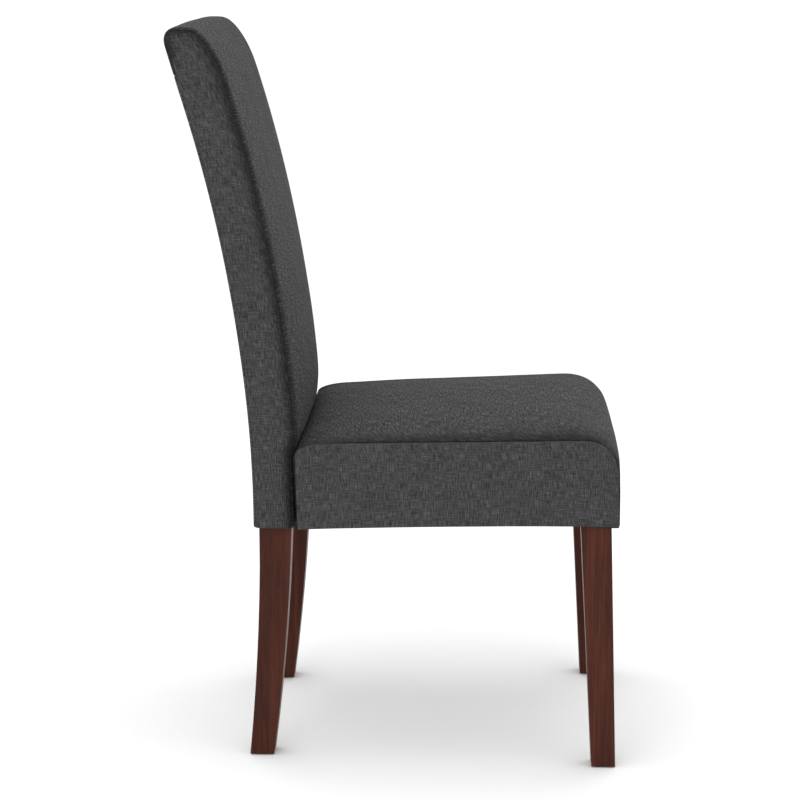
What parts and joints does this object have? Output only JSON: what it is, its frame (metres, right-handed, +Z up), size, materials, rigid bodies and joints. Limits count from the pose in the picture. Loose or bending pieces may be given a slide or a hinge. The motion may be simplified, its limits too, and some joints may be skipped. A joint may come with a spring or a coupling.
{
  "type": "dining chair",
  "caption": "Armless parsons dining chair with a tall swept upholstered back, a crowned box seat and tapered wooden legs.",
  "frame": {"origin": "on the floor under the middle of the chair's bounding box", "axes": "+Z up; the chair faces -Y; +X is to the right of someone looking at its front"},
  "size_m": [0.4606, 0.6072, 0.998],
  "materials": {
    "dust_cloth": "black non-woven cloth",
    "frame_wood": "sawn hardwood",
    "woven_cover": "heathered dark grey weave",
    "foam": "cut polyurethane foam",
    "wadding": "polyester wadding",
    "dowel_wood": "fluted beech",
    "board": "stiff fibre board",
    "webbing": "elastic upholstery webbing",
    "zinc_steel": "zinc plated",
    "staple_wire": "galvanised wire",
    "glide": "moulded nylon",
    "stained_wood": "mahogany stain, satin lacquer",
    "insert_brass": "turned"
  },
  "bodies": {
    "root": {"back_bottom_cloth": "dust_cloth", "back_bottom_rail": "frame_wood", "back_cover_front": "woven_cover", "back_cover_left": "woven_cover", "back_cover_rear": "woven_cover", "back_cover_right": "woven_cover", "back_foam": "foam", "back_lumbar_rail": "frame_wood", "back_padding_left": "wadding", "back_padding_right": "wadding", "back_rail_dowels": "dowel_wood", "back_rear_board": "board", "back_rear_wadding": "wadding", "back_top_rail": "frame_wood", "back_webbing": "webbing", "corner_block_front_left": "frame_wood", "corner_block_front_right": "frame_wood", "corner_block_rear_left": "frame_wood", "corner_block_rear_right": "frame_wood", "corner_block_screws": "zinc_steel", "dust_cover_staples": "staple_wire", "floor_glide_front_left": "glide", "floor_glide_front_right": "glide", "floor_glide_rear_left": "glide", "floor_glide_rear_right": "glide", "front_leg_left": "stained_wood", "front_leg_right": "stained_wood", "rear_leg_left": "stained_wood", "rear_leg_right": "stained_wood", "seat_bolt_washers": "zinc_steel", "seat_bolts": "zinc_steel", "seat_cover_left": "woven_cover", "seat_cover_right": "woven_cover", "seat_cover_top": "woven_cover", "seat_dust_cover": "dust_cloth", "seat_foam": "foam", "seat_padding_front": "wadding", "seat_padding_left": "wadding", "seat_padding_right": "wadding", "seat_rail_dowels": "dowel_wood", "seat_rail_front": "frame_wood", "seat_rail_left": "frame_wood", "seat_rail_rear": "frame_wood", "seat_rail_right": "frame_wood", "seat_wadding": "wadding", "seat_webbing_cross": "webbing", "seat_webbing_long": "webbing", "threaded_inserts": "insert_brass"}
  },
  "joints": []
}
